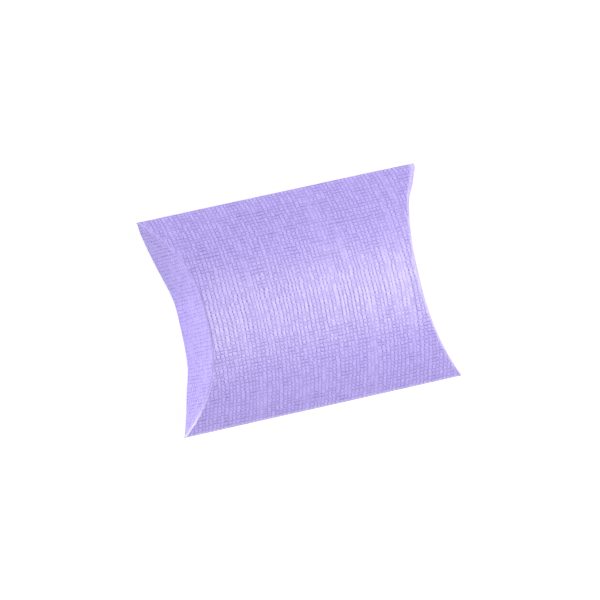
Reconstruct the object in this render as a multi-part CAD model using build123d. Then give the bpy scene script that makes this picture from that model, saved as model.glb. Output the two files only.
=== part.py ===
from build123d import *
import os
from math import sqrt

# Pillow box folded from one die-cut blank of thin embossed card.
#
# Two arched panels meet at a fold along one side and at a glued seam along the other. Each end is
# closed by two curved flaps: the outer one belongs to the bottom panel and swings out, and the inner
# one belongs to the top panel, is tucked behind it and swings in.
#
# X runs along the box, Y across it and Z up. The origin is on the surface that the box lies on, under
# its middle. All sizes are in millimetres.

# Outside of the closed box
length = 100.0  # between the corner tips, along the folds
width = 71.0  # between the side fold and the seam
thickness = 25.0  # over the two crowns
crown_flat = 6.0  # flat strip along the middle of each panel

# Card and its folds
card = 0.4  # board thickness
fold_radius = 0.5  # outside rounding of the two long folds
fold_reach = 2.5  # width of card that each long fold takes up on either side

# Glued seam
glue = 0.1  # adhesive film
tab_width = 12.0  # from the seam to the free edge of the glue tab
tab_end_margin = 5.0  # from the corner tip to the end of the tab, at the seam
tab_taper = 6.0  # how much further in the tab ends at its free edge
glue_margin = 1.5  # bare tab beyond each end of the film

# Clearances
flap_gap = 0.12  # between the two flaps of an end, and between a flap and the panel ends
swing_clearance = 0.4  # between the inner flap's free edge and the bottom panel as it swings in

# Overrun of every cutting solid
overrun = 4.0

# Worked out from the sizes above
half_length = length / 2
half_width = width / 2
rise = thickness / 2
arch_half = half_width - crown_flat / 2
arch_radius = (arch_half**2 + rise**2) / (2 * rise)
arch_drop = arch_radius - rise
fold_line = half_width - fold_reach
tab_edge = half_width - tab_width
tab_back = card + glue + card
inner_flap_back = card + flap_gap + card


def lens(inset):
    """Closed outline of two mirrored arches, at a distance inside the box's outer surface.

    A negative inset gives the parallel outline outside it.
    """
    crown = rise - inset
    edge = crown_flat / 2 + sqrt((arch_radius - inset) ** 2 - arch_drop**2)
    middle = crown_flat / 2
    upper = Curve() + [
        TangentArc((-middle, crown), (-edge, 0), tangent=(-1, 0)),
        Line((-middle, crown), (middle, crown)),
        TangentArc((middle, crown), (edge, 0), tangent=(1, 0)),
    ]
    return make_face(upper + mirror(upper, Plane.XZ))


def rounded_lens():
    """The outer outline with its two pointed edges rounded as the card bends there."""
    outline = lens(0)
    points = outline.vertices().sort_by(Axis.X)
    return fillet([points[0], points[-1]], fold_radius)


def cross_plane(x):
    """Plane of a cross-section at a place along the box, with its origin midway up."""
    return Plane(origin=(x, 0, rise), x_dir=(0, 1, 0), z_dir=(1, 0, 0))


def along(outline):
    """Solid that carries a cross-section from one corner tip to the other."""
    return extrude(cross_plane(0) * outline, amount=half_length, both=True)


def end_hollow(side, outset):
    """Upright solid that fills the hollow of one end, as far as an outset behind the outer flap."""
    plan = Plane(origin=(side * half_length, 0, -overrun), x_dir=(0, 1, 0), z_dir=(0, 0, 1))
    return extrude(plan * lens(-outset), amount=thickness + 2 * overrun)


def both_hollows(outset):
    """The hollows of the two ends."""
    return end_hollow(-1, outset) + end_hollow(1, outset)


def band(y_low, y_high, z_low, z_high):
    """Long block that keeps one strip of a cross-section."""
    block = Box(
        length + 2 * overrun,
        y_high - y_low,
        z_high - z_low,
        align=(Align.CENTER, Align.MIN, Align.MIN),
    )
    return Pos(0, y_low, z_low) * block


def shell():
    """The outer thickness of card all round, from one corner tip to the other."""
    return along(rounded_lens()) - along(lens(card))


def tab_layer():
    """The thickness of card that the glue tab takes up under the outer one."""
    return along(lens(card + glue)) - along(lens(tab_back))


def tab_plan(margin):
    """Upright block with the tapered outline of the glue tab, shorter by a margin at both ends."""
    seam_end = half_length - tab_end_margin - margin
    free_end = seam_end - tab_taper
    outline = Polyline(
        (-free_end, tab_edge),
        (free_end, tab_edge),
        (seam_end, half_width),
        (-seam_end, half_width),
        close=True,
    )
    return extrude(make_face(outline), amount=thickness)


def make_top_panel():
    """Upper panel, whose cut edge lies on the seam fold."""
    kept = band(-fold_line, half_width, rise + glue, thickness)
    return shell() & kept - both_hollows(card + flap_gap)


def make_bottom_panel():
    """Lower panel, between the two long folds, which reaches the outer flaps at both ends."""
    kept = band(-fold_line, fold_line, 0, rise)
    return shell() & kept - both_hollows(card)


def make_side_fold():
    """Folded edge that joins the two panels."""
    kept = band(-half_width, -fold_line, 0, thickness)
    return shell() & kept - both_hollows(card + flap_gap)


def make_seam_fold():
    """Folded edge of the lower panel, which turns in under the cut edge of the upper one."""
    lower = shell() & band(fold_line, half_width, 0, rise)
    solid_edge = along(rounded_lens()) - along(lens(tab_back))
    turn = solid_edge & band(fold_line, half_width, rise - card, rise)
    tucked = tab_layer() & band(fold_line, half_width, rise, thickness) & tab_plan(0)
    return (lower + turn) - both_hollows(card + flap_gap) + tucked


def make_glue_tab():
    """Tab that runs on from the seam fold under the upper panel."""
    return tab_layer() & band(tab_edge, fold_line, rise, thickness) & tab_plan(0)


def make_glue_line():
    """Film of adhesive between the tab and the upper panel."""
    film = along(lens(card)) - along(lens(card + glue))
    return film & band(tab_edge, fold_line, rise, thickness) & tab_plan(glue_margin)


def make_outer_flap(side):
    """Curved flap on the lower panel's crease, as high as the box is at every point."""
    wall = end_hollow(side, card) - end_hollow(side, 0)
    return wall & along(rounded_lens())


def swing_room(side):
    """Room that the inner flap has when it turns about its crease, down to the lower panel."""
    hinge_x = side * (half_length - rise - inner_flap_back)
    hinge_z = thickness - card
    inner = lens(card + swing_clearance)
    reach = inner.bounding_box().max.X
    above = Pos(0, (hinge_z - rise) / 2) * Rectangle(2 * reach, hinge_z - rise)
    below = Pos(0, -rise / 2) * Rectangle(2 * reach, rise)
    profile = above + (inner & below)
    return revolve(cross_plane(hinge_x) * profile, Axis((hinge_x, 0, hinge_z), (0, 1, 0)))


def make_inner_flap(side):
    """Curved flap under the upper panel's crease, trimmed so that it can swing into the box."""
    wall = end_hollow(side, inner_flap_back) - end_hollow(side, card + flap_gap)
    return wall & along(lens(card)) & swing_room(side)


parts = {
    "top_panel": make_top_panel(),
    "bottom_panel": make_bottom_panel(),
    "side_fold": make_side_fold(),
    "seam_fold": make_seam_fold(),
    "glue_tab": make_glue_tab(),
    "glue_line": make_glue_line(),
}
for name, side in (("left", -1), ("right", 1)):
    parts[name + "_outer_flap"] = make_outer_flap(side)
    parts[name + "_inner_flap"] = make_inner_flap(side)

os.makedirs("parts", exist_ok=True)
for name, shape in parts.items():
    export_step(shape, "parts/" + name + ".step")
    print(name, len(shape.solids()), "solid,", round(shape.volume, 2), "mm3")
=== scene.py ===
import math

import bpy
import numpy as np
from mathutils import Matrix, Vector


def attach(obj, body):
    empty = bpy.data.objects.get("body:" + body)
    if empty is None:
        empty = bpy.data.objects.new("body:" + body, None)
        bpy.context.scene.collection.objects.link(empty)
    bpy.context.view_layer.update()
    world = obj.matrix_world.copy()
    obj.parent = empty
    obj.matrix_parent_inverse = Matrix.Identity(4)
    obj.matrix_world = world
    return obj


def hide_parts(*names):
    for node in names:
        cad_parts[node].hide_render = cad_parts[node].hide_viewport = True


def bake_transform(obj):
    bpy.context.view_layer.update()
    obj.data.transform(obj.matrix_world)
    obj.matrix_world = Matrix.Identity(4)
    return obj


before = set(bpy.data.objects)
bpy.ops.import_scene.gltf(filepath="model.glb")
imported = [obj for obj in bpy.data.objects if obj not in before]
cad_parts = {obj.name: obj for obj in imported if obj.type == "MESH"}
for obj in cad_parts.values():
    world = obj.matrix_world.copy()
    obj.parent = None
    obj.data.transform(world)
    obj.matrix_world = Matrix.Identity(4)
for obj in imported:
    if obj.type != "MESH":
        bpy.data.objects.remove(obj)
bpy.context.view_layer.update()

MM = 0.001


# Bottom panel
# The lower of the two arched panels. It is one area of the single die-cut blank: lilac board about
# 0.4 mm thick, pressed between engraved rollers that leave an irregular linen grain on the outside.
# The box lies on the flat strip along its crown, and both ends run on into the outer flaps.

length, width, rise = 100.0, 71.0, 12.5
card = 0.4
crown_half = 3.0
arch_half = width / 2 - crown_half
arch_radius = (arch_half**2 + rise**2) / (2 * rise)
arch_drop = arch_radius - rise
fold_radius = 0.5
fold_centre = crown_half + math.sqrt((arch_radius - fold_radius) ** 2 - arch_drop**2)
fold_start = crown_half + (fold_centre - crown_half) * arch_radius / (arch_radius - fold_radius)
fold_tip = fold_centre + fold_radius
fold_line = 33.0
bend = 0.45


def plan_depth(y, outset=0.0):
    """Distance in from the corner tips to a wall that stands an outset behind the outer flap's face."""
    beside = np.maximum(np.abs(y) - crown_half, 0)
    return np.sqrt((arch_radius + outset) ** 2 - beside**2) - arch_drop


def half_height(y):
    """Height of the box's outside above its middle plane, with the two long folds rounded."""
    beside = np.minimum(np.abs(y), fold_tip)
    rounded = np.sqrt(np.maximum(fold_radius**2 - np.maximum(beside - fold_centre, 0) ** 2, 0))
    return np.where(beside < fold_start, plan_depth(np.minimum(beside, fold_start)), rounded)


def lean(y):
    """Angle of the arch's outward normal from upright, turning to level at the rounded folds."""
    beside = np.abs(y)
    arch = np.arcsin(np.clip((beside - crown_half) / arch_radius, 0, 1))
    turn = np.arcsin(np.clip((beside - fold_centre) / fold_radius, 0, 1))
    return np.sign(y) * np.where(beside < fold_start, arch, turn)


def along_arch(y):
    """Length of card from the crown to a point of the arch."""
    arch = np.arcsin(np.clip((np.abs(y) - crown_half) / arch_radius, 0, 1)) * arch_radius
    return np.sign(y) * (np.minimum(np.abs(y), crown_half) + arch)


def across(low, high, step=0.8):
    """Places across the box, evenly spread along the card, closer together on the rounded folds."""
    marks = [-fold_tip, -fold_start, -fold_line, -crown_half, crown_half, fold_line, fold_start, fold_tip]
    marks = [low] + [m for m in marks if low + 1e-6 < m < high - 1e-6] + [high]
    places = [np.array([low])]
    for a, b in zip(marks[:-1], marks[1:]):
        on_fold = max(abs(a), abs(b)) > fold_start + 1e-6
        count = 7 if on_fold else max(2, round(abs(along_arch(b) - along_arch(a)) / step))
        share = np.linspace(0, 1, count + 1)[1:]
        if on_fold:
            share = np.sin(share * math.pi / 2) if abs(b) > abs(a) else 1 - np.cos(share * math.pi / 2)
        places.append(a + (b - a) * share)
    return np.concatenate(places)


seam_side_bow, fold_side_bow, upper_bow = 1.75, 0.9, 0.85
right_blunting, left_blunting = 1.05, 0.5


def settle(points):
    """Points in mm moved as the folded card has settled, which leaves the ends a little out of true.

    The lower crease of the left end bows out, most a third of the way in from either corner, its upper
    crease bows out a little in the middle, and the corners on the seam side are blunted.
    """
    x, y, z = points.T
    far_side = np.where(y > 23, 1 - np.clip((y - 23) / 12.3, 0, 1) ** 2,
                        (1 - np.clip((23 - y) / 17, 0, 1) ** 2) ** 2)
    near_side = np.where(y < -23, 1 - np.clip((-23 - y) / 12, 0, 1) ** 2,
                         (1 - np.clip((y + 23) / 10, 0, 1) ** 2) ** 2)
    low_bow = seam_side_bow * far_side + fold_side_bow * near_side
    high_bow = upper_bow * (1 - np.clip(np.abs(y - 3) / 30, 0, 1) ** 2) ** 2
    tall = np.maximum(half_height(y), 0.3)
    up_the_wall = np.clip((z - rise + tall) / (2 * tall), 0, 1)
    from_end = np.clip((-x - 26) / 12, 0, 1)
    high_up = up_the_wall**1.5
    shift = from_end**2 * (3 - 2 * from_end) * (low_bow * (1 - high_up) + high_bow * high_up)
    to_corner = np.clip((y - 23) / 6.5, 0, 1)
    near_corner = to_corner**2 * (3 - 2 * to_corner) * (1 - np.clip((y - 33.2) / 2.1, 0, 1) ** 2)
    right_tip = right_blunting * near_corner * np.clip((x - 38) / 6, 0, 1)
    left_tip = left_blunting * np.clip((y - 31.5) / 3.5, 0, 1) * np.clip((-x - 40) / 8, 0, 1)
    return np.stack([x - shift + right_tip + left_tip, y, z], -1)


def card_piece(name, outer, inner, flat, paling):
    """Closed mesh of a piece of card from its outer and inner faces, each a grid of points in mm.

    flat holds where each point was on the flat blank, and the last argument how near it is to a crease or
    free edge, which pales the card there for cracked creases and rubbed edges, and at the ends partly as a
    painted highlight.
    """
    rows, cols = outer.shape[:2]
    points = settle(np.concatenate([outer.reshape(-1, 3), inner.reshape(-1, 3)]))
    index = np.arange(rows * cols).reshape(rows, cols)
    quads = np.stack([index[:-1, :-1], index[1:, :-1], index[1:, 1:], index[:-1, 1:]], -1).reshape(-1, 4)
    rim = np.concatenate([index[0, :], index[1:, -1], index[-1, -2::-1], index[-2:0:-1, 0]])
    after = np.roll(rim, -1)
    back = rows * cols
    sides = np.stack([rim, after, after + back, rim + back], -1)
    faces = [tuple(int(i) for i in f) for f in np.concatenate([quads, quads[:, ::-1] + back, sides])]
    mesh = bpy.data.meshes.new(name)
    mesh.from_pydata([tuple(p) for p in (points * MM)], [], faces)
    kinds = np.concatenate([np.zeros(len(quads)), np.ones(len(quads)), np.full(len(sides), 2)])
    mesh.polygons.foreach_set("material_index", kinds.astype(np.int32))
    mesh.polygons.foreach_set("use_smooth", np.ones(len(faces), bool))
    rim_pairs = {tuple(sorted((int(a), int(b)))) for a, b in zip(rim, after)}
    rim_pairs |= {(a + back, b + back) for a, b in rim_pairs}
    sharp = mesh.attributes.new("sharp_edge", "BOOLEAN", "EDGE")
    sharp.data.foreach_set("value", [tuple(sorted(e.vertices)) in rim_pairs for e in mesh.edges])
    twice = np.concatenate([flat.reshape(-1, 2)] * 2)
    spread = mesh.attributes.new("flat_mm", "FLOAT_VECTOR", "POINT")
    level = np.column_stack([twice, np.zeros(len(twice))])
    spread.data.foreach_set("vector", level.astype(np.float32).ravel())
    paled = mesh.attributes.new("crease", "FLOAT", "POINT")
    paled.data.foreach_set("value", np.concatenate([paling.ravel()] * 2).astype(np.float32))
    mesh.update()
    mesh.validate()
    piece = bpy.data.objects.new(name, mesh)
    bpy.context.scene.collection.objects.link(piece)
    for finish in (linen_card, board_back, cut_edge):
        mesh.materials.append(finish)
    return piece


def wired(tree, kind, inputs=None, **settings):
    """A shader node with its settings, and with its inputs set to values or joined to sockets."""
    node = tree.nodes.new(kind)
    for key, value in settings.items():
        setattr(node, key, value)
    for key, value in (inputs or {}).items():
        if isinstance(value, bpy.types.NodeSocket):
            tree.links.new(value, node.inputs[key])
        else:
            node.inputs[key].default_value = value
    return node


def reckon(tree, operation, *values):
    """A Math node on one to three values or sockets."""
    return wired(tree, "ShaderNodeMath", dict(enumerate(values)), operation=operation).outputs[0]


def make_thread_lines():
    """Group: one family of pressed-in threads that run across a given coordinate.

    Their spacing, depth and straightness all wander a little, as the threads of raw linen do.
    """
    tree = bpy.data.node_groups.new("thread_lines", "ShaderNodeTree")
    face = tree.interface
    for label in ("Across", "Along", "Pitch", "Shift", "Drift", "Shake", "Seed"):
        face.new_socket(label, in_out="INPUT", socket_type="NodeSocketFloat")
    for label in ("Relief", "Groove", "Crest", "Line"):
        face.new_socket(label, in_out="OUTPUT", socket_type="NodeSocketFloat")
    source = tree.nodes.new("NodeGroupInput").outputs

    def spot(x, y):
        return wired(tree, "ShaderNodeCombineXYZ", {0: x, 1: y, 2: source["Seed"]}).outputs[0]

    slow = wired(tree, "ShaderNodeTexNoise", {
        "Vector": spot(reckon(tree, "MULTIPLY", source["Across"], 0.2),
                       reckon(tree, "MULTIPLY", source["Along"], 0.035)),
        "Scale": 1.0, "Detail": 1.0})
    quick = wired(tree, "ShaderNodeTexNoise", {
        "Vector": spot(reckon(tree, "MULTIPLY", source["Across"], 0.7),
                       reckon(tree, "MULTIPLY", source["Along"], 0.6)),
        "Scale": 1.0, "Detail": 1.0})
    drift = reckon(tree, "MULTIPLY", reckon(tree, "SUBTRACT", slow.outputs[0], 0.5), source["Drift"])
    shake = reckon(tree, "MULTIPLY", reckon(tree, "SUBTRACT", quick.outputs[0], 0.5), source["Shake"])
    moved = reckon(tree, "ADD", reckon(tree, "ADD", drift, shake),
                   reckon(tree, "ADD", source["Across"], source["Shift"]))
    count = reckon(tree, "DIVIDE", moved, source["Pitch"])
    line = reckon(tree, "FLOOR", count)
    ramp = reckon(tree, "FRACT", count)
    off_middle = reckon(tree, "ABSOLUTE", reckon(tree, "MULTIPLY_ADD", ramp, 2.0, -1.0))
    tent = reckon(tree, "SUBTRACT", 1.0, off_middle)
    round_top = reckon(tree, "POWER", tent, 0.35)
    depth = wired(tree, "ShaderNodeTexWhiteNoise", {
        "Vector": spot(line, 0.37)}, noise_dimensions="3D").outputs["Value"]
    run = wired(tree, "ShaderNodeTexNoise", {
        "Vector": spot(reckon(tree, "MULTIPLY", line, 3.7),
                       reckon(tree, "MULTIPLY", source["Along"], 0.4)),
        "Scale": 1.0, "Detail": 2.0}).outputs[0]
    run = wired(tree, "ShaderNodeMapRange", {0: run, 1: 0.36, 2: 0.56, 3: 0.74, 4: 1.0}).outputs[0]
    strength = reckon(tree, "MULTIPLY", reckon(tree, "MULTIPLY_ADD", depth, 0.2, 0.78), run)
    fall = reckon(tree, "MULTIPLY", reckon(tree, "SUBTRACT", round_top, 1.0), strength)
    hollow = reckon(tree, "MULTIPLY", reckon(tree, "POWER", off_middle, 2.8), strength)
    wired(tree, "NodeGroupOutput", {"Relief": fall, "Groove": hollow, "Crest": round_top, "Line": line})
    return tree


def make_linen_grain():
    """Group: the linen grain of the card, from two crossing families of pressed threads.

    Each row of threads is shifted by a little of its own, so the cells between them lie like pebbles.
    A few thick, smooth threads run across the box, and on the crown the rows fade and the columns darken,
    painted to follow the highlight.
    """
    tree = bpy.data.node_groups.new("linen_grain", "ShaderNodeTree")
    face = tree.interface
    face.new_socket("Flat", in_out="INPUT", socket_type="NodeSocketVector")
    for label in ("Cross Pitch", "Long Pitch", "Stagger", "Crown Sheen"):
        face.new_socket(label, in_out="INPUT", socket_type="NodeSocketFloat")
    for label in ("Height", "Groove"):
        face.new_socket(label, in_out="OUTPUT", socket_type="NodeSocketFloat")
    source = tree.nodes.new("NodeGroupInput").outputs
    place = wired(tree, "ShaderNodeSeparateXYZ", {0: source["Flat"]}).outputs
    rows = wired(tree, "ShaderNodeGroup", {
        "Across": place[1], "Along": place[0], "Pitch": source["Long Pitch"],
        "Drift": 1.3, "Shake": 0.5, "Seed": 11.7}, node_tree=thread_lines)
    jump = wired(tree, "ShaderNodeTexWhiteNoise", {"W": rows.outputs["Line"]},
                 noise_dimensions="1D").outputs["Value"]
    shift = reckon(tree, "MULTIPLY", reckon(tree, "SUBTRACT", jump, 0.5), source["Stagger"])
    columns = wired(tree, "ShaderNodeGroup", {
        "Across": place[0], "Along": place[1], "Pitch": source["Cross Pitch"], "Shift": shift,
        "Drift": 1.7, "Shake": 0.18, "Seed": 3.1}, node_tree=thread_lines)
    cell = wired(tree, "ShaderNodeCombineXYZ", {
        0: columns.outputs["Line"], 1: rows.outputs["Line"]}).outputs[0]
    swell = wired(tree, "ShaderNodeTexWhiteNoise", {"Vector": cell}, noise_dimensions="3D").outputs["Value"]
    thick = wired(tree, "ShaderNodeTexNoise", {
        "Vector": wired(tree, "ShaderNodeCombineXYZ", {
            0: reckon(tree, "MULTIPLY", place[0], 0.3), 1: reckon(tree, "MULTIPLY", place[1], 0.018),
            2: 5.3}).outputs[0],
        "Scale": 1.0, "Detail": 1.0}).outputs[0]
    slub = wired(tree, "ShaderNodeMapRange", {0: thick, 1: 0.6, 2: 0.68, 3: 0.0, 4: 1.0}).outputs[0]
    patch = wired(tree, "ShaderNodeTexNoise", {
        "Vector": source["Flat"], "Scale": 0.09, "Detail": 2.0}).outputs[0]
    patch = wired(tree, "ShaderNodeMapRange", {0: patch, 1: 0.35, 2: 0.6, 3: 0.86, 4: 1.0}).outputs[0]
    level = reckon(tree, "MULTIPLY", patch, reckon(tree, "MULTIPLY_ADD", slub, -0.32, 1.0))
    fibre = wired(tree, "ShaderNodeTexNoise", {
        "Vector": source["Flat"], "Scale": 2.2, "Detail": 4.0}).outputs[0]
    # Painted highlight pattern: towards the crown the rows fade in colour and relief and the columns'
    # grooves darken, as the grain looks under the highlight there.
    crown_sheen = wired(tree, "ShaderNodeMapRange", {
        0: reckon(tree, "ABSOLUTE", place[1]), 1: 3.0, 2: 14.0, 3: source["Crown Sheen"], 4: 0.0}).outputs[0]
    kept = reckon(tree, "SUBTRACT", 1.0, crown_sheen)
    bead = reckon(tree, "MULTIPLY_ADD", rows.outputs["Crest"], 0.8, 0.12)
    both = reckon(tree, "MULTIPLY_ADD", rows.outputs["Relief"], kept,
                  reckon(tree, "MULTIPLY", columns.outputs["Relief"], bead))
    fibre = reckon(tree, "MULTIPLY_ADD", reckon(tree, "SUBTRACT", fibre, 0.5), 0.8,
                   reckon(tree, "MULTIPLY", swell, 0.3))
    height = reckon(tree, "MULTIPLY_ADD", both, level, fibre)
    dash = reckon(tree, "MULTIPLY", reckon(tree, "MULTIPLY_ADD", swell, 1.3, 0.5),
                  reckon(tree, "POWER", bead, 2.2))
    dash = reckon(tree, "MULTIPLY", dash, reckon(tree, "MULTIPLY_ADD", crown_sheen, 0.45, 1.0))
    stroke = reckon(tree, "MULTIPLY", reckon(tree, "MULTIPLY_ADD", swell, -0.3, 0.78), kept)
    deepest = reckon(tree, "MAXIMUM", reckon(tree, "MULTIPLY", rows.outputs["Groove"], stroke),
                     reckon(tree, "MULTIPLY", columns.outputs["Groove"], dash))
    speck = wired(tree, "ShaderNodeTexNoise", {
        "Vector": source["Flat"], "Scale": 3.2, "Detail": 2.0}).outputs[0]
    speck = reckon(tree, "MULTIPLY", reckon(tree, "SUBTRACT", 0.5, speck), 1.5)
    dull = reckon(tree, "MULTIPLY_ADD", reckon(tree, "SUBTRACT", 1.0, swell), 0.22, speck)
    groove = reckon(tree, "MULTIPLY_ADD", deepest, level, dull)
    wired(tree, "NodeGroupOutput", {"Height": height, "Groove": groove})
    return tree


def make_crease_wear_and_sheen():
    """Group: where card is bent or cut its coloured face cracks a little and shows paler fibre, and the
    same pale colour is a painted highlight at the ends.
    """
    tree = bpy.data.node_groups.new("crease_wear_and_sheen", "ShaderNodeTree")
    face = tree.interface
    for label, kind in (("Color", "NodeSocketColor"), ("Worn And Lit Color", "NodeSocketColor"),
                        ("Nearness", "NodeSocketFloat"), ("Flat", "NodeSocketVector"),
                        ("Amount", "NodeSocketFloat")):
        face.new_socket(label, in_out="INPUT", socket_type=kind)
    face.new_socket("Color", in_out="OUTPUT", socket_type="NodeSocketColor")
    source = tree.nodes.new("NodeGroupInput").outputs
    grain = wired(tree, "ShaderNodeTexNoise", {
        "Vector": source["Flat"], "Scale": 1.4, "Detail": 4.0}).outputs[0]
    grain = wired(tree, "ShaderNodeMapRange", {0: grain, 1: 0.35, 2: 0.65, 3: 0.3, 4: 1.0}).outputs[0]
    share = reckon(tree, "MULTIPLY", reckon(tree, "MULTIPLY", source["Nearness"], grain), source["Amount"])
    mixed = wired(tree, "ShaderNodeMix", {0: share, 6: source["Color"], 7: source["Worn And Lit Color"]},
                  data_type="RGBA").outputs[2]
    wired(tree, "NodeGroupOutput", {"Color": mixed})
    return tree


thread_lines = make_thread_lines()
linen_grain = make_linen_grain()
crease_wear_and_sheen = make_crease_wear_and_sheen()


def blank_finish(name):
    """A new material and its emptied node tree."""
    material = bpy.data.materials.new(name)
    material.use_nodes = True
    material.node_tree.nodes.clear()
    return material, material.node_tree


emboss = {"Cross Pitch": 1.37, "Long Pitch": 1.22, "Stagger": 0.28, "Crown Sheen": 0.5}


def make_linen_card():
    """Outside of the card: lilac and softly satin, darker and duller in the pressed grooves, their darker
    colour partly painted shade.
    """
    material, tree = blank_finish("linen_card")
    flat = wired(tree, "ShaderNodeAttribute", attribute_name="flat_mm").outputs["Vector"]
    near = wired(tree, "ShaderNodeAttribute", attribute_name="crease").outputs["Fac"]
    grain = wired(tree, "ShaderNodeGroup", {"Flat": flat, **emboss}, node_tree=linen_grain)
    groove = grain.outputs["Groove"]
    # Painted shade, in part: the grooves get a darker colour, partly the board's own tone and partly the
    # shade that falls in them.
    sunk = wired(tree, "ShaderNodeMapRange", {0: groove, 1: 0.0, 2: 0.86, 3: 0.0, 4: 1.0}).outputs[0]
    tint = wired(tree, "ShaderNodeMix", {0: sunk, 6: (0.446, 0.365, 0.766, 1), 7: (0.12, 0.09, 0.375, 1)},
                 data_type="RGBA").outputs[2]
    # Paler near creases and free edges: cracked creases and rubbed edges, and at the ends partly a painted
    # highlight.
    paled = wired(tree, "ShaderNodeGroup", {
        "Color": tint, "Worn And Lit Color": (0.76, 0.69, 0.98, 1), "Nearness": near, "Flat": flat,
        "Amount": 0.8}, node_tree=crease_wear_and_sheen)
    rough = wired(tree, "ShaderNodeMapRange", {0: groove, 1: 0.0, 2: 0.8, 3: 0.38, 4: 0.85}).outputs[0]
    press = wired(tree, "ShaderNodeBump", {
        "Height": grain.outputs["Height"], "Strength": 1.0, "Distance": 0.00012})
    surface = wired(tree, "ShaderNodeBsdfPrincipled", {
        "Base Color": paled.outputs["Color"], "Roughness": rough, "Normal": press.outputs[0],
        "Specular IOR Level": 1.0})
    wired(tree, "ShaderNodeOutputMaterial", {0: surface.outputs[0]})
    return material


def make_board_back():
    """Inside of the card: the same dyed board without a coating, on which the grain shows faintly."""
    material, tree = blank_finish("board_back")
    flat = wired(tree, "ShaderNodeAttribute", attribute_name="flat_mm").outputs["Vector"]
    grain = wired(tree, "ShaderNodeGroup", {"Flat": flat, **emboss}, node_tree=linen_grain)
    pulp = wired(tree, "ShaderNodeTexNoise", {"Vector": flat, "Scale": 0.8, "Detail": 6.0}).outputs[0]
    shade = wired(tree, "ShaderNodeMix", {0: pulp, 6: (0.46, 0.37, 0.78, 1), 7: (0.56, 0.47, 0.88, 1)},
                  data_type="RGBA").outputs[2]
    press = wired(tree, "ShaderNodeBump", {
        "Height": grain.outputs["Height"], "Strength": 1.0, "Distance": 0.00002})
    rough = wired(tree, "ShaderNodeMapRange", {0: pulp, 1: 0.3, 2: 0.7, 3: 0.82, 4: 0.95}).outputs[0]
    surface = wired(tree, "ShaderNodeBsdfPrincipled", {
        "Base Color": shade, "Roughness": rough, "Normal": press.outputs[0]})
    wired(tree, "ShaderNodeOutputMaterial", {0: surface.outputs[0]})
    return material


def make_cut_edge():
    """Die-cut edge of the card: dyed through, with torn fibre that looks paler where it is rubbed, and at
    the ends partly a painted highlight on the rim.
    """
    material, tree = blank_finish("cut_edge")
    place = wired(tree, "ShaderNodeTexCoord").outputs["Object"]
    near = wired(tree, "ShaderNodeAttribute", attribute_name="crease").outputs["Fac"]
    drag = wired(tree, "ShaderNodeTexNoise", {"Vector": place, "Scale": 1400.0, "Detail": 3.0}).outputs[0]
    dyed = wired(tree, "ShaderNodeMix", {0: drag, 6: (0.36, 0.3, 0.62, 1), 7: (0.45, 0.375, 0.74, 1)},
                 data_type="RGBA").outputs[2]
    # Paler where the crease attribute is high: rubbed fibre, and at the ends partly a painted highlight on
    # the thin rim.
    shade = wired(tree, "ShaderNodeMix", {0: near, 6: dyed, 7: (0.8, 0.73, 0.98, 1)},
                  data_type="RGBA").outputs[2]
    press = wired(tree, "ShaderNodeBump", {"Height": drag, "Strength": 0.5, "Distance": 0.00004})
    rough = wired(tree, "ShaderNodeMapRange", {0: drag, 1: 0.3, 2: 0.7, 3: 0.75, 4: 0.92}).outputs[0]
    surface = wired(tree, "ShaderNodeBsdfPrincipled", {
        "Base Color": shade, "Roughness": rough, "Normal": press.outputs[0]})
    wired(tree, "ShaderNodeOutputMaterial", {0: surface.outputs[0]})
    return material


linen_card, board_back, cut_edge = make_linen_card(), make_board_back(), make_cut_edge()


def panel_grid(ys, up, ends, inset=0.0, step=1.0):
    """Outer and inner face of an arched strip of card, and where its points lay on the flat blank.

    up is 1 for the upper arch and -1 for the lower, and ends gives how far it reaches at each place,
    towards the right end for 1 and towards the left end for -1.
    """
    reach, left_reach = ends(ys, 1), ends(ys, -1)
    half = np.append(np.linspace(0, 1 - 2.4 / reach.max(), round(reach.max() / step)),
                     1 - np.array([1.9, 1.5, 1.1, 0.8, 0.5, 0.25, 0]) / reach.max())
    share = np.concatenate([-half[:0:-1], half])
    x = share[:, None] * np.where(share[:, None] > 0, reach[None, :], left_reach[None, :])
    tilt = lean(ys)
    normal = np.stack([np.zeros_like(ys), np.sin(tilt), up * np.cos(tilt)], -1)
    line = np.stack([np.zeros_like(ys), ys, rise + up * half_height(ys)], -1) - inset * normal
    outer = np.repeat(line[None], len(share), 0)
    outer[:, :, 0] = x
    inner = outer - card * normal[None]
    flat = np.stack([x, np.repeat(along_arch(ys)[None], len(share), 0)], -1)
    if up < 0:
        flat[:, :, 1] = 2 * along_arch(np.array(width / 2)) - flat[:, :, 1]
    return outer, inner, flat


def outer_bend(y, end=1):
    """Radius of the crease between the bottom panel and an outer flap, alike at both ends.

    It is smaller in the corners, where the flap is low.
    """
    return np.minimum(bend, 0.6 * half_height(y))


def bottom_ends(y, end):
    """Half length of the bottom panel up to where the crease starts to bend."""
    return length / 2 - plan_depth(y) - outer_bend(y)


ys = across(-fold_line, fold_line)
outer, inner, flat = panel_grid(ys, -1, bottom_ends)
bottom_panel = card_piece("bottom_panel_card", outer[:, ::-1], inner[:, ::-1], flat[:, ::-1],
                          np.zeros(outer.shape[:2]))
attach(bottom_panel, "sleeve")
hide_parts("bottom_panel")


# Top panel
# The upper arched panel of the same blank, with the same linen grain. It runs from the side fold to
# the seam, where its cut edge lies on the seam fold, and at both ends it turns down into the inner
# flaps. It is the face that shows most.

flap_gap = 0.03
tuck = card + flap_gap
swing_clearance = 0.4
seam_edge = fold_centre + math.sqrt(fold_radius**2 - 0.1**2)
hinge_back = rise + tuck + card
hinge_drop = 2 * rise - card


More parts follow.
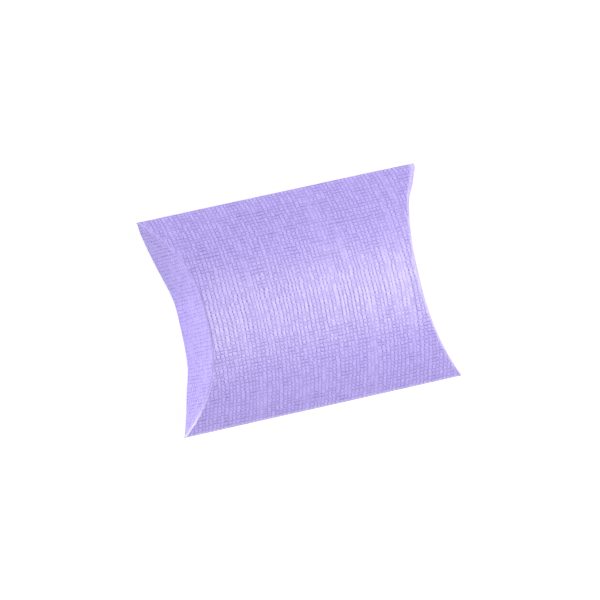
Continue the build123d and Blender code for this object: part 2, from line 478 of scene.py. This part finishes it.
def inner_flap_drop(y):
    """Height of an inner flap below its crease, which lets its curved free edge swing clear."""
    reach = hinge_drop - rise + np.maximum(half_height(y) - card - swing_clearance, 0)
    out = np.maximum(hinge_back - plan_depth(y, tuck + card), 0)
    top = half_height(y) - card
    low = hinge_drop - rise - np.sqrt(np.maximum(reach**2 - out**2, 0))
    return np.maximum(top - low, 0)


def inner_bend(y, end):
    """Radius of the crease between the top panel and an inner flap, nothing beyond the flap.

    The right end is creased sharply, and the left one is softer except towards the seam.
    """
    soft = np.clip((18 - y) / 6, 0, 1) if end < 0 else 0.0
    return np.minimum(0.12 + 0.3 * soft, 0.5 * inner_flap_drop(y))


def top_ends(y, end):
    """Half length of the top panel up to where the crease of one end starts to bend."""
    return length / 2 - plan_depth(y, tuck) - inner_bend(y, end)


ys = across(-fold_line, seam_edge)
outer, inner, flat = panel_grid(ys, 1, top_ends)
near_seam = np.repeat((np.clip((ys - fold_start) / 0.1, 0, 1))[None], len(outer), 0)
# Painted highlight: the top panel is paled in a band along the right end's crease, widening towards the
# seam-side corner, for the light on that softly rounded crease.
lit_strip_width = 0.3 + 1.3 * np.clip((ys - 21) / 13, 0, 1)
right_end_highlight = np.clip(1 - (top_ends(ys, 1) - outer[:, :, 0]) / lit_strip_width, 0, 1) ** 0.6
top_panel = card_piece("top_panel_card", outer, inner, flat, np.maximum(near_seam, right_end_highlight))
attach(top_panel, "sleeve")
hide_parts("top_panel")


# Long folds
# The side fold joins the two panels, and the seam fold turns the bottom panel in under the cut edge
# of the top one. Both are scored on the inside and folded over sharply, so the coloured face is
# stretched round a radius of about half a millimetre and cracks to a paler line.


def fold_strip(name, side, stop):
    """Strip of card round one long fold, from the lower panel to a place on the upper side."""
    lower = across(fold_line, fold_tip)
    upper = across(fold_line, fold_tip)[::-1][1:]
    upper = upper[half_height(upper) <= stop + 1e-9]
    y = np.concatenate([lower, upper])
    up = np.concatenate([np.full(len(lower), -1.0), np.full(len(upper), 1.0)])
    tilt = lean(y)
    ends_low = length / 2 - plan_depth(y) - outer_bend(y)
    ends_high = length / 2 - plan_depth(y, tuck)
    turn = np.clip(0.5 + 0.5 * up * half_height(y) / half_height(np.array(fold_start)), 0, 1)
    reach = ends_low * (1 - turn) + ends_high * turn
    share = np.linspace(-1, 1, 101)
    x = share[:, None] * reach[None, :]
    outer = np.empty(x.shape + (3,))
    outer[:, :, 0], outer[:, :, 1], outer[:, :, 2] = x, side * y, rise + up * half_height(y)
    normal = np.stack([np.zeros_like(y), side * np.sin(tilt), up * np.cos(tilt)], -1)
    inner = outer - card * normal[None]
    run = along_arch(np.array(width / 2)) - up * (along_arch(y) - along_arch(np.array(width / 2)))
    flat = np.stack([x, np.repeat((side * run)[None], len(share), 0)], -1)
    paling = np.repeat((np.clip(1 - half_height(y) / 0.5, 0, 1) ** 0.7)[None], len(share), 0)
    if side < 0:
        outer, inner, flat, paling = outer[:, ::-1], inner[:, ::-1], flat[:, ::-1], paling[:, ::-1]
    return card_piece(name, outer, inner, flat, paling)


for name, side, stop, node in (("side_fold_card", -1, rise, "side_fold"),
                               ("seam_fold_card", 1, 0.02, "seam_fold")):
    strip = fold_strip(name, side, stop)
    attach(strip, "sleeve")
    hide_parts(node)


# Glue tab and glue line
# A tapered strip of the same card runs on from the seam fold and is stuck under the top panel, so
# its bare back shows inside the box. A film of clear glue holds it.

glue = 0.1
tab_width, tab_end_margin, tab_taper = 12.0, 5.0, 6.0


def tab_ends(y, end):
    """Half length of the glue tab, which tapers towards its free edge."""
    return length / 2 - tab_end_margin - tab_taper * np.clip((width / 2 - y) / tab_width, 0, 1)


ys = across(width / 2 - tab_width, fold_start)
outer, inner, flat = panel_grid(ys, 1, tab_ends, inset=card + glue)
tab_card = card_piece("glue_tab_card", outer, inner, flat, np.zeros(outer.shape[:2]))
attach(tab_card, "sleeve")
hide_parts("glue_tab")

clear_glue, tree = blank_finish("clear_glue")
place = wired(tree, "ShaderNodeTexCoord").outputs["Object"]
streak = wired(tree, "ShaderNodeTexNoise", {"Vector": place, "Scale": 600.0, "Detail": 3.0}).outputs[0]
shade = wired(tree, "ShaderNodeMix", {0: streak, 6: (0.78, 0.74, 0.62, 1), 7: (0.88, 0.85, 0.76, 1)},
              data_type="RGBA").outputs[2]
gloss = wired(tree, "ShaderNodeMapRange", {0: streak, 1: 0.3, 2: 0.7, 3: 0.3, 4: 0.5}).outputs[0]
surface = wired(tree, "ShaderNodeBsdfPrincipled", {"Base Color": shade, "Roughness": gloss})
wired(tree, "ShaderNodeOutputMaterial", {0: surface.outputs[0]})
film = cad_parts["glue_line"]
film.data.materials.clear()
film.data.materials.append(clear_glue)


# Outer flaps
# One curved flap closes each end from outside. It hangs on the bottom panel by a curved crease, and
# bending the card into the arch makes it stand up hollow; its free edge lies along the top crease.
# It opens outwards, and because the crease is curved it flattens into the bottom panel's arch.


outer_share, inner_share = 0.96, 1.0


def flap_weights(out, up_the_wall, turned, full_share):
    """How far each point of a flap follows its joint.

    On a curved crease each point swings about the joint's axis by its own share of the angle: none
    on the crease itself, and a full share of it where the crease passes through the axis. The full
    share of an outer flap is a little less than 1, which keeps its free edge above the floor.
    """
    angle = np.arctan2(out, out + np.maximum(up_the_wall, 0) + 1e-6)
    return np.clip(1 - angle / (math.pi / 4), 0, 1) * full_share * turned


def flap_wear_and_sheen(ys, end, up):
    """How far a flap's free edge is paled, over what width in mm, and how far its crease is cracked.

    The right end's free edges are paled evenly, a painted highlight along its crease. The left one is
    paled most towards the side fold, partly rubbed card and partly a painted highlight on that corner
    of the wall, and the crease of its inner flap is cracked on that side alone.
    """
    if end > 0:
        # Painted highlight: the right end's free edges are paled evenly for the light along its crease.
        return 0.6, 0.35, 1.0
    # The left end's free edge is paled towards the side fold: rubbed card, widened into a painted highlight
    # on the wall's corner by the side fold.
    rub_and_sheen = np.clip(-(ys + 23.5) / 8, 0, 1)
    lip = 0.35 + 1.1 * np.clip(-(ys + 22) / 10, 0, 1)
    return rub_and_sheen, lip, 1.0 if up < 0 else np.clip((12 - ys) / 10, 0, 1)


def flap_grid(ys, end, up, outset, bends, height, rows):
    """Outer and inner face of a flap from the start of its bend to its free edge, with weights."""
    radius, tall = bends(ys, end), height(ys)
    wall_x = plan_depth(ys, outset) - length / 2
    tilt = lean(np.clip(ys, -fold_start, fold_start))
    corner_z = half_height(ys)
    swing = np.linspace(0, math.pi / 2, 7)
    steps = np.linspace(0, 1, rows)[1:]
    outer, inner, weights, run, paled = [], [], [], [], []
    out = np.maximum(rise - corner_z, 0)
    rub_and_sheen, lip, cracked = flap_wear_and_sheen(ys, end, up)
    full_share = inner_share if up > 0 else outer_share
    for beta in swing:
        x = wall_x + radius * (1 - math.sin(beta))
        z = corner_z - radius * (1 - math.cos(beta))
        outer.append(np.stack([x, ys, z], -1))
        shift = np.stack([np.cos(tilt) * math.sin(beta),
                          np.sin(tilt) * (math.sin(beta) - math.cos(beta)),
                          -np.cos(tilt) * math.cos(beta)], -1)
        inner.append(outer[-1] + card * shift)
        weights.append(flap_weights(out, radius, beta / (math.pi / 2), full_share))
        run.append(radius * (beta - math.pi / 4))
        paled.append(math.sin(2 * beta) * (tall > 0.3) * cracked)
    for step in steps:
        fall = radius + step * (tall - radius)
        outer.append(np.stack([wall_x, ys, corner_z - fall], -1))
        shift = np.stack([np.cos(tilt), np.sin(tilt), np.zeros_like(ys)], -1)
        inner.append(outer[-1] + card * shift)
        weights.append(flap_weights(out, fall, 1.0, full_share))
        run.append(fall - radius * (1 - math.pi / 4))
        paled.append(np.clip(1 - (tall - fall) / lip, 0, 1) * rub_and_sheen)
    outer, inner = np.array(outer), np.array(inner)
    inner[:, :, 1] = np.clip(inner[:, :, 1], -fold_tip, fold_tip)
    flat = np.stack([wall_x[None, :] - np.array(run), np.repeat(along_arch(ys)[None], len(outer), 0)], -1)
    for face in (outer, inner):
        face[:, :, 2] = rise + up * face[:, :, 2]
        face[:, :, 0] *= -end
    flat[:, :, 0] *= -end
    if up < 0:
        flat[:, :, 1] = 2 * along_arch(np.array(width / 2)) - flat[:, :, 1]
    return outer, inner, flat, np.array(paled), np.array(weights)


def hang(piece):
    """Bakes a flap's placement into its mesh."""
    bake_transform(piece)


ys = across(-fold_tip, fold_tip)
for name, end in (("left", -1), ("right", 1)):
    outer, inner, flat, paled, weights = flap_grid(
        ys, end, -1, 0.0, outer_bend, lambda y: 2 * half_height(y), 34)
    if end < 0:
        outer, inner, flat, paled, weights = (g[:, ::-1] for g in (outer, inner, flat, paled, weights))
    flap = card_piece(name + "_outer_flap_card", outer, inner, flat, paled)
    hang(flap)
    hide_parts(name + "_outer_flap")


# Inner flaps
# One curved flap at each end turns down from the top panel and is tucked in behind the outer flap,
# which leans on it. Its free edge is cut back to a flatter curve so that it swings into the box.

tab_reach = ys[inner_flap_drop(ys) > 0.05]
ys = across(float(tab_reach.min()), float(tab_reach.max()))
for name, end in (("left", -1), ("right", 1)):
    outer, inner, flat, paled, weights = flap_grid(ys, end, 1, tuck, inner_bend, inner_flap_drop, 30)
    if end > 0:
        outer, inner, flat, paled, weights = (g[:, ::-1] for g in (outer, inner, flat, paled, weights))
    flap = card_piece(name + "_inner_flap_card", outer, inner, flat, paled)
    hang(flap)
    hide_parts(name + "_inner_flap")


# Floor, light and camera
# A plain white sheet under three soft studio lamps: a strip lamp above the right end lights the crown
# of the top panel, a low one lights the left end wall, and a third fills in from the side fold. The
# camera looks down from the left end.


def seen_directly(tree):
    """1 for what the camera sees, also in a reflection or through glass, and 0 for light on the box."""
    path = wired(tree, "ShaderNodeLightPath").outputs
    mirrored = reckon(tree, "MAXIMUM", path["Is Glossy Ray"], path["Is Transmission Ray"])
    return reckon(tree, "MAXIMUM", path["Is Camera Ray"], mirrored)


floor_mesh = bpy.data.meshes.new("floor")
floor_mesh.from_pydata([(-4, -4, 0), (4, -4, 0), (4, 4, 0), (-4, 4, 0)], [], [(0, 1, 2, 3)])
floor = bpy.data.objects.new("floor", floor_mesh)
bpy.context.scene.collection.objects.link(floor)
floor.location.z = -0.00002
white_sheet, tree = blank_finish("white_sheet")
seen = seen_directly(tree)
tone = wired(tree, "ShaderNodeMix", {0: seen, 6: (0.82, 0.82, 0.82, 1), 7: (0.3, 0.3, 0.3, 1)},
             data_type="RGBA").outputs[2]
paper = wired(tree, "ShaderNodeBsdfDiffuse", {"Color": tone})
glow = wired(tree, "ShaderNodeEmission", {
    "Color": (1, 1, 1, 1), "Strength": reckon(tree, "MULTIPLY", seen, 0.86)})
total = wired(tree, "ShaderNodeAddShader", {0: paper.outputs[0], 1: glow.outputs[0]})
wired(tree, "ShaderNodeOutputMaterial", {0: total.outputs[0]})
floor_mesh.materials.append(white_sheet)

world = bpy.data.worlds.new("studio")
bpy.context.scene.world = world
world.use_nodes = True
tree = world.node_tree
tree.nodes.clear()
level = wired(tree, "ShaderNodeMapRange", {0: seen_directly(tree), 3: 0.12, 4: 1.0}).outputs[0]
sky = wired(tree, "ShaderNodeBackground", {"Color": (1, 1, 1, 1), "Strength": level})
wired(tree, "ShaderNodeOutputWorld", {0: sky.outputs[0]})


def lamp(name, place, long_side, short_side, turned, power):
    """Oblong studio lamp that points at the box, its long side turned about its own axis."""
    data = bpy.data.lights.new(name, "AREA")
    data.shape, data.size, data.size_y, data.energy = "RECTANGLE", long_side, short_side, power
    lit = bpy.data.objects.new(name, data)
    bpy.context.scene.collection.objects.link(lit)
    lit.location = place
    aim = -Vector(place).normalized()
    side = Vector((math.cos(turned), math.sin(turned), 0.0))
    side = (side - aim * side.dot(aim)).normalized()
    above = (-aim).cross(side)
    lit.matrix_world = Matrix.Translation(place) @ Matrix((side, above, -aim)).transposed().to_4x4()
    lit.visible_camera = False
    return lit


lamp("strip_lamp", (0.20, -0.015, 0.38), 0.40, 0.055, math.radians(30), 1.97)
# The low lamp is left out of reflections, which would turn the card white when seen from its far side.
near_lamp = lamp("near_lamp", (-0.72, 0.69, 0.05), 0.3, 0.08, 0.0, 11.5)
near_lamp.visible_glossy = False
lamp("side_lamp", (-0.36, -0.40, 0.27), 0.28, 0.28, 0.0, 1.6)

azimuth, elevation, roll = math.radians(-87.4), math.radians(66.8), math.radians(-74.7)
back = np.array([math.sin(azimuth) * math.cos(elevation), -math.cos(azimuth) * math.cos(elevation),
                 math.sin(elevation)])
level_right = np.array([math.cos(azimuth), math.sin(azimuth), 0.0])
level_up = np.cross(back, level_right)
right = level_right * math.cos(roll) - level_up * math.sin(roll)
upward = level_right * math.sin(roll) + level_up * math.cos(roll)
distance, picture, pixels_per_mm = 3.333, 600, 3.11
frame_width = picture / pixels_per_mm * MM
camera_data = bpy.data.cameras.new("camera")
camera_data.lens = camera_data.sensor_width * distance / frame_width
camera_data.clip_start, camera_data.clip_end = 0.1, 20.0
camera = bpy.data.objects.new("camera", camera_data)
bpy.context.scene.collection.objects.link(camera)
aim = np.array([0, 0, rise * MM]) + (right * 0.6 - upward * 0.3) / picture * frame_width
turn = Matrix(((right[0], upward[0], back[0]), (right[1], upward[1], back[1]),
               (right[2], upward[2], back[2])))
camera.matrix_world = Matrix.Translation(tuple(aim + back * distance)) @ turn.to_4x4()
bpy.context.scene.camera = camera
bpy.context.scene.view_settings.view_transform = "Standard"
